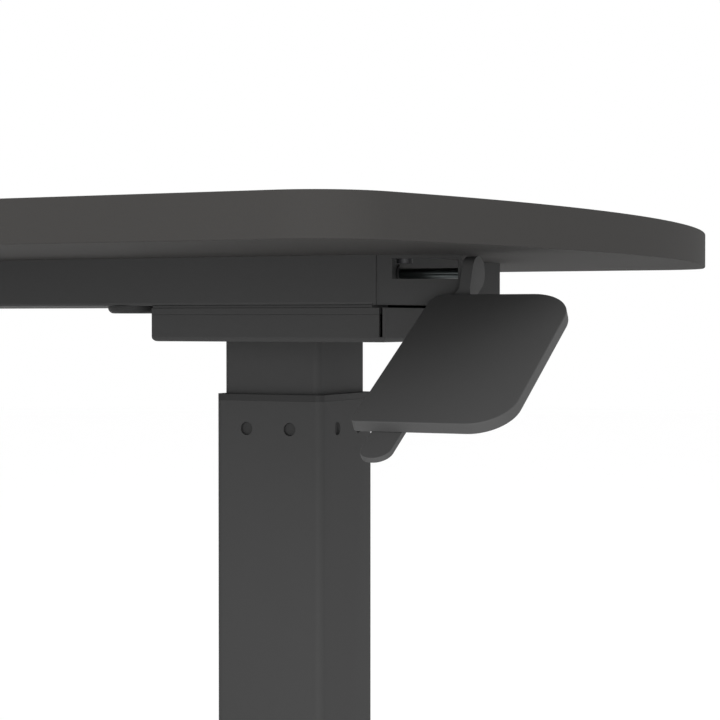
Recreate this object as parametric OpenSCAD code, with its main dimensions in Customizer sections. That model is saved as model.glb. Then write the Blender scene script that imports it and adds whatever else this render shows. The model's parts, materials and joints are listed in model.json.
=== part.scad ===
// Height adjustable desk: two gas-spring columns, released by a paddle under the right-hand end of the top.
// Frame: origin on the floor under the middle of the top, +X to the user's right, -Y towards the user, +Z up.
// The desk is drawn at its lowest height. All lengths are in millimetres.

/* [Tabletop] */
// Length of the top between the tips of its bowed ends
top_len = 1200; // [1000:10:1600]
// Depth of the top from the user's edge to the back edge
top_depth = 600; // [500:10:800]
// Thickness of the board
top_t = 22.5; // [18:0.5:30]
// Radius of the bow at each end
end_bow_r = 880; // [700:10:2000]
// Radius that joins the bow to the straight edges
corner_r = 45; // [20:1:80]
// Height of the upper surface with the columns fully down
desk_h = 740; // [700:5:850]

/* [Frame under the top] */
// Distance from the tip of the top to the end of the tray
tray_inset = 131; // [110:1:220]
// Width of the tray, front to back
tray_w = 188; // [160:1:240]
// Height of the tray
tray_h = 28; // [24:0.5:45]
// Sheet thickness of the tray
tray_sheet = 2; // [1.5:0.1:3]
// Width of the flanges that the board is screwed to
flange_w = 16; // [14:1:24]
// Thickness of the spacer strips between the tray and the head plates
strip_t = 1.5; // [1:0.1:4]
// Thickness of the head plates
head_plate_t = 3.8; // [3:0.1:8]
// Depth of the folded pan under each head plate
pan_h = 15.7; // [12:0.1:30]
// Sheet thickness of the pan
pan_sheet = 2; // [1.5:0.1:3]
// Reach of the pan from the column's middle towards the middle of the desk
pan_in = 47; // [45:1:90]
// Distance that the pan stands out past the end of the tray
pan_over = 8; // [4:1:14]
// Width of the open corner slit in the pan
corner_slit = 2; // [1:0.1:3]

/* [Columns] */
// Distance from the tip of the top to the middle of a column
column_inset = 228; // [200:1:330]
// Outside width of the outer tube
outer_w = 73; // [66:1:90]
// Wall of the outer tube
outer_wall = 2; // [1.5:0.1:3]
// Outside corner radius of the outer tube
outer_r = 5; // [4:0.5:8]
// Gap between the outer tube's inside and the inner tube's outside
tube_gap = 1.75; // [1.25:0.05:3]
// Wall of the inner tube
inner_wall = 2; // [1.5:0.1:3]
// Length of inner tube that shows with the desk fully down
inner_show = 32.5; // [25:0.5:60]
// Lift of the desk, from fully down to fully up
stroke = 400; // [200:10:420]
// Length of inner tube that stays inside the outer tube with the desk fully up
tube_overlap = 140; // [100:5:160]
// Height of the flange of the guide bush on top of the outer tube
bush_flange = 4; // [2:0.5:8]
// Height of the guide bush and of the guide shoe
bush_h = 50; // [40:1:70]
// Running gap on each side between a guide and the tube that slides in it
guide_gap = 0.3; // [0.2:0.05:0.5]
// Diameter of the snap buttons that hold the bush in the outer tube
button_d = 8; // [5:0.5:10]
// Distance from a button to the middle of its face
button_x = 14.75; // [10:0.25:18]
// Distance from the top of the outer tube's flange to the buttons
button_drop = 21; // [14:0.5:30]

/* [Feet] */
// Length of a foot beam, front to back
foot_len = 560; // [450:10:700]
// Width of a foot beam
foot_w = 80; // [76:1:110]
// Height of a foot beam
foot_h = 30; // [24:1:45]
// Wall of a foot beam
foot_wall = 2.5; // [2:0.1:4]
// Thickness of the plate that joins a column to its foot
base_plate_t = 6; // [4:0.5:10]
// Distance that the base plate stands out past the outer tube, front and back
base_plate_lip = 24; // [20:1:40]
// Diameter of a levelling foot's pad
level_d = 38; // [30:1:50]
// Height of the gap between the floor and the foot beam
level_h = 12; // [10:1:20]
// Distance from the end of a foot beam to its levelling foot
level_inset = 34; // [30:1:60]
// Travel of a levelling foot
level_travel = 10; // [5:1:12]

/* [Gas springs] */
// Outside diameter of the cylinder
gas_d = 28; // [22:1:34]
// Wall of the cylinder
gas_wall = 1.6; // [1.2:0.1:2.5]
// Diameter of the piston rod
rod_d = 10; // [8:0.5:14]
// Diameter of the release pin in the rod
pin_d = 4; // [3:0.25:5]
// Running gap around a rod or shaft that turns or slides in its bore
run_gap = 0.05; // [0.02:0.01:0.1]

/* [Release lever] */
// Diameter of the release shaft
shaft_d = 6; // [5:0.5:8]
// Distance from the middle of the desk's depth forward to the shaft
shaft_y = 62; // [50:1:68]
// Distance from the underside of the board down to the shaft
shaft_drop = 10; // [10:0.5:14]
// Angle that the paddle slopes down towards the user
paddle_slope = 31.4; // [25:0.1:45]
// Width of the paddle
paddle_w = 84.6; // [70:0.2:110]
// Length of the paddle along its slope
paddle_len = 126.4; // [100:0.1:140]
// Thickness of the paddle
paddle_t = 6.4; // [5:0.1:8]
// Distance along the slope from the shaft to the paddle
paddle_start = 23.2; // [20:0.1:30]
// Distance from the tip of the top to the paddle's inner side
paddle_inset = 99.2; // [96:0.2:110]
// Thickness of the lever arm's strip
arm_t = 3; // [2.5:0.1:4]
// Width of the arm's eye on the shaft
arm_w = 6.5; // [6:0.5:9]
// Width of the arm under the paddle
arm_tip_w = 17; // [15:0.5:24]
// Distance from the shaft to the tip of the arm
arm_len = 172; // [155:1:185]
// Length of the side wall of the lever bracket
bracket_len = 50; // [40:1:52]
// Angle between the lever bracket's wall and the front of the tray
bracket_angle = 29; // [20:1:35]
// Angle that the lever turns
lever_turn = 5; // [3:0.5:6]

/* [Hidden] */
$fn = 48;
eps = 0.5;

// Sides: -1 is the left-hand column, 1 the right-hand one
sides = [-1, 1];
column_x = top_len / 2 - column_inset;
tray_x = top_len / 2 - tray_inset;
under_z = desk_h - top_t;
tray_z = under_z - tray_h;
plate_top_z = tray_z - strip_t;
plate_z = plate_top_z - head_plate_t;
pan_z = plate_z - pan_h;
slit_z = pan_z + pan_sheet + 1;

// Tubes
inner_w = outer_w - 2 * outer_wall - 2 * tube_gap;
inner_r = outer_r - 0.5;
outer_top_z = pan_z - inner_show - bush_flange;
inner_bottom_z = outer_top_z - stroke - tube_overlap;
foot_top_z = level_h + foot_h;
outer_bottom_z = foot_top_z + base_plate_t;
bush_w = outer_w - 2 * outer_wall - 0.2;
shoe_w = outer_w - 2 * outer_wall - 2 * guide_gap;
slide_w = inner_w + 2 * guide_gap;
button_sink = 1.5;

// Fasteners: shank diameter, head diameter, head height
wood_screw = [4, 9, 2.5];
m8 = [8, 15, 4];
m5 = [5, 9, 2.5];
m4 = [4, 7.5, 2.2];
hex_m8 = 13;
hole_gap = 0.2;

// Head plate and pan
tray_out = tray_x - column_x;
pan_out = tray_out + pan_over;
plate_out = pan_out - pan_sheet - corner_slit;
pan_y = tray_w / 2;
head_bolt_x = [-pan_in + 13, tray_out - 16];
head_bolt_y = pan_y - 14;
strip_w = 21.5;
strip_y = pan_y - strip_w / 2 - 0.5;
plug_d = 30;
plug_h = 4.5;
plug_edge = 2;
plug_neck = plug_d - 8;
plug_x = column_x - pan_in - plug_d / 2 - 7;
plug_y = pan_y - plug_d / 2;
tray_screw_x = [tray_x - 40, tray_x / 3];

// Feet
foot_bolt_y = outer_w / 2 + base_plate_lip / 2;
level_y = foot_len / 2 - level_inset;
level_thread = 8;
level_pad_h = 8;
insert_d = level_thread + 6;
insert_h = 7;
level_top_z = level_h + foot_wall + insert_h + level_travel + 4.5;

// Gas springs
gas_bottom_z = outer_bottom_z;
gas_floor = 6;
piston_h = 16;
piston_z = gas_bottom_z + gas_floor + 6;
gland_h = 18;
gas_top_z = piston_z + piston_h + stroke + 8 + gland_h;
stud_d = 10;
stud_len = base_plate_t + foot_wall + 12;
rod_nut = [17, 5];
pin_len = 60;

// Release train
shaft_z = under_z - shaft_drop;
cam_drop = 3;
cam_t = 5;
cam_w = 12;
cam_hub_r = 8;
cam_gap = 0.6;
cam_reach = shaft_y + 4;
cam_face_z = shaft_z - cam_drop;
pin_tip_z = cam_face_z - cam_gap;
rod_top_z = cam_face_z - shaft_y * sin(lever_turn) - 1;
bush_d = shaft_d + 4;
bush_lip_d = bush_d + 3;
bush_lip_t = 1.5;
support_x = [-column_x - 30, -tray_x / 4, tray_x / 4];
support_t = 3;
support_w = 20;

// Lever
hub_r = paddle_t;
eye_r = hub_r + arm_t;
wall_end_x = tray_x + bracket_len * cos(bracket_angle);
arm_x = wall_end_x + 0.7;
paddle_x = top_len / 2 - paddle_inset;
paddle_corner_r = [9, 3, 22, 25];
eye_cap = 0.8;
shaft_end_x = arm_x + arm_w - eye_cap - 0.1;
hub_inset = 0.5;
clip_t = 0.8;
clip_x = support_x[0] - support_t - bush_lip_t - clip_t - 0.5;
arm_sides = [paddle_x + 10.6, paddle_x + 10.6 + arm_tip_w];
neck_run = [16, 23, 60];
neck_rise = 8.7;
neck_out = [6.2, 1.8];
arm_tip_r = 8.2;
paddle_screw_x = arm_sides[0] + arm_tip_w / 2;
paddle_screw_run = [45, 85, 130];
window = [11, 48.2, 13.5];
spring_wire = 1.2;
spring_turns = 5;
spring_x = tray_x - 22;

// Rectangle with exact round corners, centred
module round_rect(w, d, r) {
    union() {
        square([w - 2 * r, d], center = true);
        square([w, d - 2 * r], center = true);
        for (sx = sides, sy = sides) {
            translate([sx * (w / 2 - r), sy * (d / 2 - r)]) circle(r);
        }
    }
}

// Square tube standing on z = 0
module square_tube(w, wall, r, h) {
    difference() {
        linear_extrude(h) round_rect(w, w, r);
        translate([0, 0, -eps]) linear_extrude(h + 2 * eps) round_rect(w - 2 * wall, w - 2 * wall, r - wall);
    }
}

function unit(v) = v / norm(v);

// Convex outline with its own radius at each corner
module soft_polygon(points, radii) {
    n = len(points);
    union() {
        difference() {
            polygon(points);
            for (i = [0 : n - 1]) {
                corner_cut(points[(i + n - 1) % n], points[i], points[(i + 1) % n], radii[i]);
            }
        }
        for (i = [0 : n - 1]) {
            corner_disc(points[(i + n - 1) % n], points[i], points[(i + 1) % n], radii[i]);
        }
    }
}

function corner_half(a, p, b) = acos(unit(a - p) * unit(b - p)) / 2;
function corner_mid(a, p, b, r) = p + unit(unit(a - p) + unit(b - p)) * r / sin(corner_half(a, p, b));
function corner_run(a, p, b, r) = r / tan(corner_half(a, p, b));

module corner_cut(a, p, b, r) {
    run = corner_run(a, p, b, r);
    mid = corner_mid(a, p, b, r);
    polygon([p + unit(a - p) * run, p + (p - mid) * 0.5, p + unit(b - p) * run, mid]);
}

module corner_disc(a, p, b, r) {
    translate(corner_mid(a, p, b, r)) circle(r, $fn = 96);
}

// Round shank with a round head, head below z = 0, shank up
module headed(size, len) {
    cylinder(d = size[0], h = len);
    translate([0, 0, -size[2]]) cylinder(d = size[1], h = size[2]);
}

// Hexagon nut or bolt head, standing on z = 0
module hex(across, h) {
    cylinder(d = across / cos(30), h = h, $fn = 6);
}

module hex_nut(size, across, h) {
    difference() {
        hex(across, h);
        translate([0, 0, -eps]) cylinder(d = size[0] + hole_gap, h = h + 2 * eps);
    }
}

// Middle and turn of the arc that joins a bowed end to a long edge
corner_y = top_depth / 2 - corner_r;
bow_mid = top_len / 2 - end_bow_r;
corner_x = bow_mid + sqrt(pow(end_bow_r - corner_r, 2) - pow(corner_y, 2));
corner_turn = atan2(corner_y, corner_x - bow_mid);
corner_steps = 14;
bow_steps = 44;

// Points on an arc, at the steps of n that go from first to last
function arc(mid, r, from, to, n, first, last) =
    [for (i = [first : last]) mid + r * [cos(from + (to - from) * i / n), sin(from + (to - from) * i / n)]];

right_end = concat(
    arc([corner_x, -corner_y], corner_r, -90, -corner_turn, corner_steps, 0, corner_steps),
    arc([bow_mid, 0], end_bow_r, -corner_turn, corner_turn, bow_steps, 1, bow_steps - 1),
    arc([corner_x, corner_y], corner_r, corner_turn, 90, corner_steps, 0, corner_steps));

module top_outline() {
    polygon(concat(right_end, [for (p = right_end) -p]));
}

// ---- Parts that rise with the top ----

module tabletop() {
    color([0.27, 0.27, 0.27]) difference() {
        translate([0, 0, under_z]) linear_extrude(top_t) top_outline();
        tray_screw_places() cylinder(d = wood_screw[0], h = 14);
        lever_screw_places() cylinder(d = wood_screw[0], h = 12);
    }
}

// Screw places on the tray's flanges, at the underside of the board
module tray_screw_places() {
    for (sx = sides, x = tray_screw_x, sy = sides) {
        translate([sx * x, sy * (pan_y - tray_sheet - flange_w / 2), under_z]) children();
    }
}

// Folded channel, open towards the board, with flanges turned inwards and closed ends
module frame_tray() {
    color([0.2, 0.2, 0.2]) difference() {
        translate([-tray_x, -pan_y, tray_z]) cube([2 * tray_x, tray_w, tray_h]);
        translate([-tray_x + tray_sheet, -pan_y + tray_sheet, tray_z + tray_sheet]) {
            cube([2 * tray_x - 2 * tray_sheet, tray_w - 2 * tray_sheet, tray_h - 2 * tray_sheet]);
        }
        translate([-tray_x + tray_sheet, -pan_y + tray_sheet + flange_w, tray_z + tray_sheet]) {
            cube([2 * tray_x - 2 * tray_sheet, tray_w - 2 * (tray_sheet + flange_w), tray_h]);
        }
        tray_screw_places() translate([0, 0, -tray_h]) {
            cylinder(d = wood_screw[0] + hole_gap, h = tray_h + eps);
        }
        head_bolt_places() translate([0, 0, -eps]) cylinder(d = m8[0] + hole_gap, h = tray_sheet + 2 * eps);
        for (sx = sides) translate([sx * column_x, 0, tray_z - eps]) {
            cylinder(d = rod_d + hole_gap, h = tray_sheet + 2 * eps);
        }
        translate([tray_x - tray_sheet - eps, -shaft_y, shaft_z]) rotate([0, 90, 0]) {
            cylinder(d = bush_d, h = tray_sheet + 2 * eps);
        }
        support_screw_places() translate([0, 0, -eps]) {
            cylinder(d = m4[0] + hole_gap, h = tray_sheet + 2 * eps);
        }
        for (sx = sides, sy = sides) translate([sx * plug_x, sy * plug_y, tray_z - eps]) {
            cylinder(d = plug_neck, h = tray_sheet + 2 * eps);
        }
        bracket_tab_screws() translate([-tray_sheet - eps, 0, 0]) rotate([0, 90, 0]) {
            cylinder(d = m4[0] + hole_gap, h = tray_sheet + 2 * eps);
        }
    }
}

module tray_screws() {
    color([0.15, 0.15, 0.15]) tray_screw_places() translate([0, 0, -tray_sheet]) {
        headed(wood_screw, tray_sheet + 13);
    }
}

// Snap-in plugs that close the access holes in the tray's floor
module tray_plugs() {
    color([0.12, 0.12, 0.12]) for (sx = sides, sy = sides) {
        translate([sx * plug_x, sy * plug_y, tray_z - plug_h]) {
            cylinder(d1 = plug_d - 4 * plug_edge, d2 = plug_d, h = plug_edge);
            translate([0, 0, plug_edge]) cylinder(d = plug_d, h = plug_h - plug_edge);
            cylinder(d = plug_neck - hole_gap, h = plug_h + tray_sheet + 1);
        }
    }
}

// Bolt places on the tray's floor
module head_bolt_places() {
    for (s = sides, x = head_bolt_x, sy = sides) {
        translate([s * (column_x + x), sy * head_bolt_y, tray_z]) children();
    }
}

// Flat bars along the front and back of each head plate
module spacer_strips() {
    color([0.24, 0.24, 0.24]) difference() {
        for (s = sides, sy = sides) {
            translate([s * (column_x + (tray_out - pan_in) / 2), sy * strip_y, tray_z - strip_t / 2]) {
                cube([pan_in + tray_out - 1, strip_w, strip_t], center = true);
            }
        }
        head_bolt_places() translate([0, 0, -tray_h]) cylinder(d = m8[0] + hole_gap, h = 2 * tray_h);
    }
}

// Plate over the pan, bored for the gas spring's rod and cleared round the shaft support's screws
module head_plate(s) {
    color([0.22, 0.22, 0.22]) difference() {
        translate([min(s * (column_x - pan_in), s * (column_x + plate_out)), -pan_y, plate_z]) {
            cube([pan_in + plate_out, tray_w, head_plate_t]);
        }
        head_bolt_places() translate([0, 0, -tray_h]) cylinder(d = m8[0] + hole_gap, h = tray_h);
        translate([s * column_x, 0, plate_z - eps]) {
            cylinder(d = rod_d + hole_gap, h = head_plate_t + 2 * eps);
        }
        support_screw_places() translate([0, 0, -tray_h]) cylinder(d = m4[1] + 1, h = tray_h);
    }
}

module head_plate_left() { head_plate(-1); }
module head_plate_right() { head_plate(1); }

// Folded pan: floor, front and back walls up to the plate, and an open slit at each outer corner
module head_bracket(s) {
    outer_x = s * (column_x + pan_out);
    inner_x = s * (column_x - pan_in);
    color([0.23, 0.23, 0.23]) difference() {
        union() {
            translate([min(inner_x, outer_x), -pan_y, pan_z]) cube([pan_in + pan_out, tray_w, pan_h]);
            translate([min(outer_x, outer_x - s * pan_sheet), -pan_y, pan_z]) {
                cube([pan_sheet, tray_w, pan_h + head_plate_t]);
            }
        }
        translate([(inner_x + outer_x) / 2, 0, pan_z + pan_sheet + pan_h / 2]) {
            cube([pan_in + pan_out - 2 * pan_sheet, tray_w - 2 * pan_sheet, pan_h], center = true);
        }
        for (sy = sides) {
            translate([outer_x - s * (pan_sheet + corner_slit / 2), sy * pan_y, slit_z + pan_h / 2]) {
                cube([corner_slit, 2 * (pan_sheet + eps), pan_h], center = true);
            }
        }
        translate([s * column_x, 0, pan_z - eps]) {
            linear_extrude(pan_sheet + 2 * eps) round_rect(inner_w + 0.4, inner_w + 0.4, inner_r);
        }
        head_bolt_places() translate([0, 0, -2 * tray_h]) cylinder(d = hex_m8 + 7, h = 2 * tray_h - 12);
    }
}

module head_bracket_left() { head_bracket(-1); }
module head_bracket_right() { head_bracket(1); }

// Bolts with their round heads on the tray's floor, shanks down through the strips and the plate
module head_bolts() {
    color([0.3, 0.3, 0.3]) head_bolt_places() translate([0, 0, tray_sheet]) mirror([0, 0, 1]) {
        headed(m8, tray_sheet + strip_t + head_plate_t + 9);
    }
}

module head_nuts() {
    color([0.6, 0.6, 0.6]) head_bolt_places() translate([0, 0, plate_z - tray_z - 6.5]) {
        hex_nut(m8, hex_m8, 6.5);
    }
}

module inner_tube(s) {
    color([0.24, 0.24, 0.24]) translate([s * column_x, 0, inner_bottom_z]) {
        square_tube(inner_w, inner_wall, inner_r, plate_z - inner_bottom_z);
    }
}

module inner_tube_left() { inner_tube(-1); }
module inner_tube_right() { inner_tube(1); }

// Plastic sleeve round the bottom of the inner tube, with a lip under its end
module guide_shoe(s) {
    color([0.85, 0.85, 0.82]) translate([s * column_x, 0, inner_bottom_z - 3]) {
        square_tube(shoe_w, (shoe_w - inner_w) / 2 + inner_wall, inner_r - 0.5, 3);
        translate([0, 0, 3]) difference() {
            linear_extrude(bush_h) round_rect(shoe_w, shoe_w, inner_r - 0.5);
            translate([0, 0, -eps]) linear_extrude(bush_h + 2 * eps) round_rect(inner_w, inner_w, inner_r);
        }
    }
}

module guide_shoe_left() { guide_shoe(-1); }
module guide_shoe_right() { guide_shoe(1); }

// Rod with a blind bore for the release pin
module gas_rod(s) {
    color([0.75, 0.75, 0.77]) translate([s * column_x, 0, 0]) difference() {
        translate([0, 0, piston_z]) cylinder(d = rod_d, h = rod_top_z - piston_z);
        translate([0, 0, pin_tip_z - pin_len - 10]) cylinder(d = pin_d + 2 * run_gap, h = tray_h * 3);
    }
}

module gas_rod_left() { gas_rod(-1); }
module gas_rod_right() { gas_rod(1); }

module gas_pistons() {
    color([0.3, 0.3, 0.32]) for (s = sides) translate([s * column_x, 0, piston_z]) difference() {
        cylinder(d = gas_d - 2 * gas_wall - 4 * run_gap, h = piston_h);
        translate([0, 0, -eps]) cylinder(d = rod_d, h = piston_h + 2 * eps);
    }
}

module rod_nuts() {
    color([0.6, 0.6, 0.6]) for (s = sides) translate([s * column_x, 0, tray_z + tray_sheet]) {
        difference() {
            hex(rod_nut[0], rod_nut[1]);
            translate([0, 0, -eps]) cylinder(d = rod_d, h = rod_nut[1] + 2 * eps);
        }
    }
}

// ---- Parts that stand on the floor ----

module outer_tube(s) {
    color([0.26, 0.26, 0.26]) translate([s * column_x, 0, 0]) difference() {
        translate([0, 0, outer_bottom_z]) {
            square_tube(outer_w, outer_wall, outer_r, outer_top_z - outer_bottom_z);
        }
        button_places() cylinder(d = button_d, h = 2 * outer_wall, center = true);
    }
}

module outer_tube_left() { outer_tube(-1); }
module outer_tube_right() { outer_tube(1); }

// Snap button places on the outer faces of one column, axes pointing outwards
module button_places() {
    for (turn = [0 : 90 : 270], x = [-button_x, button_x]) {
        rotate([0, 0, turn]) translate([x, -outer_w / 2, outer_top_z + bush_flange - button_drop]) {
            rotate([90, 0, 0]) children();
        }
    }
}

// Plastic bush held in the top of the outer tube by its buttons
module guide_bush(s) {
    color([0.24, 0.24, 0.24]) translate([s * column_x, 0, 0]) difference() {
        union() {
            translate([0, 0, outer_top_z - bush_h]) linear_extrude(bush_h) {
                round_rect(bush_w, bush_w, outer_r - outer_wall);
            }
            translate([0, 0, outer_top_z]) linear_extrude(bush_flange) round_rect(outer_w, outer_w, outer_r);
            button_places() translate([0, 0, -outer_wall - 0.5]) {
                cylinder(d = button_d - 0.4, h = outer_wall + 0.5 - button_sink);
            }
        }
        translate([0, 0, outer_top_z - bush_h - eps]) {
            linear_extrude(bush_h + bush_flange + 2 * eps) round_rect(slide_w, slide_w, inner_r);
        }
    }
}

module guide_bush_left() { guide_bush(-1); }
module guide_bush_right() { guide_bush(1); }

// Bolt places on top of one base plate
module foot_bolt_places() {
    for (x = sides, y = sides) translate([x * (foot_w / 2 - 16), y * foot_bolt_y, outer_bottom_z]) children();
}

module base_plate(s) {
    color([0.24, 0.24, 0.24]) translate([s * column_x, 0, 0]) difference() {
        translate([0, 0, foot_top_z]) linear_extrude(base_plate_t) {
            round_rect(foot_w - 2, outer_w + 2 * base_plate_lip, 6);
        }
        foot_bolt_places() translate([0, 0, -2 * base_plate_t]) {
            cylinder(d = m8[0] + hole_gap, h = 4 * base_plate_t);
        }
        translate([0, 0, foot_top_z - eps]) cylinder(d = stud_d + hole_gap, h = base_plate_t + 2 * eps);
    }
}

module base_plate_left() { base_plate(-1); }
module base_plate_right() { base_plate(1); }

// Rectangular tube laid front to back
module foot_beam(s) {
    color([0.25, 0.25, 0.25]) translate([s * column_x, 0, 0]) difference() {
        translate([0, foot_len / 2, level_h + foot_h / 2]) rotate([90, 0, 0]) difference() {
            linear_extrude(foot_len) round_rect(foot_w, foot_h, 5);
            translate([0, 0, -eps]) linear_extrude(foot_len + 2 * eps) {
                round_rect(foot_w - 2 * foot_wall, foot_h - 2 * foot_wall, 5 - foot_wall);
            }
        }
        foot_bolt_places() translate([0, 0, -4 * base_plate_t]) {
            cylinder(d = m8[0] + hole_gap, h = 6 * base_plate_t);
        }
        translate([0, 0, foot_top_z - 2 * foot_wall]) cylinder(d = stud_d + hole_gap, h = 4 * foot_wall);
        for (y = sides) translate([0, y * level_y, level_h - eps]) {
            cylinder(d = insert_d + hole_gap, h = foot_wall + 2 * eps);
        }
    }
}

module foot_beam_left() { foot_beam(-1); }
module foot_beam_right() { foot_beam(1); }

module foot_end_caps() {
    color([0.1, 0.1, 0.1]) for (s = sides, y = sides) {
        translate([s * column_x, y * foot_len / 2, level_h + foot_h / 2]) rotate([y * -90, 0, 0]) {
            linear_extrude(4) round_rect(foot_w, foot_h, 5);
            translate([0, 0, -12]) linear_extrude(12) {
                round_rect(foot_w - 2 * foot_wall - 0.4, foot_h - 2 * foot_wall - 0.4, 5 - foot_wall);
            }
        }
    }
}

module foot_bolts() {
    color([0.15, 0.15, 0.15]) for (s = sides) translate([s * column_x, 0, 0]) foot_bolt_places() {
        mirror([0, 0, 1]) headed(m8, base_plate_t + foot_wall + 8);
    }
}

module foot_nuts() {
    color([0.6, 0.6, 0.6]) for (s = sides) translate([s * column_x, 0, 0]) foot_bolt_places() {
        translate([0, 0, -base_plate_t - foot_wall - 6.5]) hex_nut(m8, hex_m8, 6.5);
    }
}

// Threaded inserts that the levelling feet screw into
module foot_inserts() {
    color([0.7, 0.68, 0.6]) for (s = sides, y = sides) translate([s * column_x, y * level_y, level_h]) {
        difference() {
            union() {
                cylinder(d = insert_d, h = foot_wall + insert_h);
                translate([0, 0, -1]) cylinder(d = insert_d + 4, h = 1);
            }
            translate([0, 0, -1 - eps]) {
                cylinder(d = level_thread + 2 * run_gap, h = foot_wall + insert_h + 1 + 2 * eps);
            }
        }
    }
}

module levelling_foot(s, y) {
    color([0.1, 0.1, 0.1]) translate([s * column_x, y * level_y, 0]) {
        rotate_extrude($fn = 64) polygon([
            [0, 0], [level_d / 2 - 1.5, 0], [level_d / 2, 1.5], [level_d / 2, 5], [level_thread, level_pad_h],
            [level_thread / 2, level_pad_h], [level_thread / 2, level_top_z], [0, level_top_z]]);
    }
}

module levelling_foot_left_front() { levelling_foot(-1, -1); }
module levelling_foot_left_back() { levelling_foot(-1, 1); }
module levelling_foot_right_front() { levelling_foot(1, -1); }
module levelling_foot_right_back() { levelling_foot(1, 1); }

module gas_cylinder(s) {
    color([0.13, 0.13, 0.13]) translate([s * column_x, 0, gas_bottom_z]) {
        difference() {
            cylinder(d = gas_d, h = gas_top_z - gas_bottom_z);
            translate([0, 0, gas_floor]) cylinder(d = gas_d - 2 * gas_wall, h = gas_top_z - gas_bottom_z);
        }
        translate([0, 0, -stud_len]) cylinder(d = stud_d, h = stud_len);
    }
}

module gas_cylinder_left() { gas_cylinder(-1); }
module gas_cylinder_right() { gas_cylinder(1); }

module gas_glands() {
    color([0.2, 0.2, 0.2]) for (s = sides) translate([s * column_x, 0, gas_top_z - gland_h]) difference() {
        union() {
            cylinder(d = gas_d - 2 * gas_wall, h = gland_h);
            translate([0, 0, gland_h]) cylinder(d = gas_d, h = 2);
        }
        translate([0, 0, -eps]) cylinder(d = rod_d + 2 * run_gap, h = gland_h + 2 + 2 * eps);
    }
}

// Nut on each cylinder's stud, inside the foot beam
module cylinder_nuts() {
    color([0.6, 0.6, 0.6]) for (s = sides) translate([s * column_x, 0, foot_top_z - foot_wall - 8]) {
        difference() {
            hex(rod_nut[0], 8);
            translate([0, 0, -eps]) cylinder(d = stud_d, h = 8 + 2 * eps);
        }
    }
}

// ---- Release train ----

module release_pin(s) {
    color([0.8, 0.8, 0.8]) translate([s * column_x, 0, pin_tip_z - pin_len]) cylinder(d = pin_d, h = pin_len);
}

module release_pin_left() { release_pin(-1); }
module release_pin_right() { release_pin(1); }

// Places a child's local frame on the shaft's axis, its own X along the shaft
module on_shaft(x) {
    translate([x, -shaft_y, shaft_z]) children();
}

module release_shaft() {
    color([0.75, 0.77, 0.78]) on_shaft(support_x[0] - 10) rotate([0, 90, 0]) {
        cylinder(d = shaft_d, h = shaft_end_x - support_x[0] + 10);
    }
}

// Cam finger over each release pin, clamped on the shaft
module release_cams() {
    color([0.55, 0.55, 0.57]) for (s = sides) on_shaft(s * column_x - cam_w / 2) difference() {
        union() {
            rotate([0, 90, 0]) cylinder(r = cam_hub_r, h = cam_w);
            translate([0, 0, -cam_drop]) cube([cam_w, cam_reach, cam_t]);
        }
        translate([-eps, 0, 0]) rotate([0, 90, 0]) cylinder(d = shaft_d, h = cam_w + 2 * eps);
    }
}

// Support places on the tray's floor, under the shaft
module support_places() {
    for (x = support_x) translate([x, -shaft_y, tray_z]) children();
}

// Screw places at the underside of the tray's floor, two for each support
module support_screw_places() {
    support_places() for (sy = sides) translate([support_w / 4, sy * support_w / 4, 0]) children();
}

module shaft_supports() {
    rise = shaft_z - tray_z - tray_sheet + bush_d / 2 + 2;
    color([0.5, 0.5, 0.5]) support_places() translate([0, 0, tray_sheet]) difference() {
        translate([-support_t, -support_w / 2, 0]) {
            cube([support_t, support_w, rise]);
            cube([support_w / 2 + support_t, support_w, support_t]);
        }
        translate([-support_t - eps, 0, shaft_z - tray_z - tray_sheet]) rotate([0, 90, 0]) {
            cylinder(d = bush_d, h = support_t + 2 * eps);
        }
        for (sy = sides) translate([support_w / 4, sy * support_w / 4, -eps]) {
            cylinder(d = m4[0] + hole_gap, h = support_t + 2 * eps);
        }
    }
}

module support_screws() {
    color([0.3, 0.3, 0.3]) support_screw_places() headed(m4, tray_sheet + support_t + 1);
}

// Flanged plastic bushes in the supports and in the tray's end wall
module shaft_bushes() {
    color([0.9, 0.9, 0.86]) {
        for (x = support_x) shaft_bush(x - support_t, support_t);
        shaft_bush(tray_x - tray_sheet, 2 * tray_sheet);
    }
}

module shaft_bush(x, wall) {
    on_shaft(x) rotate([0, 90, 0]) difference() {
        union() {
            translate([0, 0, -bush_lip_t]) cylinder(d = bush_lip_d, h = bush_lip_t);
            cylinder(d = bush_d, h = wall + 1);
        }
        translate([0, 0, -bush_lip_t - eps]) {
            cylinder(d = shaft_d + 2 * run_gap, h = wall + bush_lip_t + 1 + 2 * eps);
        }
    }
}

module lever_hub() {
    color([0.3, 0.3, 0.32]) on_shaft(arm_x - hub_inset) rotate([0, 90, 0]) difference() {
        cylinder(r = hub_r, h = arm_w + hub_inset - eye_cap - 0.1);
        translate([0, 0, -eps]) cylinder(d = shaft_d, h = arm_w + 2 * eps);
    }
}

// Frame of the paddle's plane: origin on the shaft's axis, -Y down the slope, +Z out of the upper face
module lever_frame() {
    translate([0, -shaft_y, shaft_z]) rotate([paddle_slope, 0, 0]) children();
}

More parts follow.
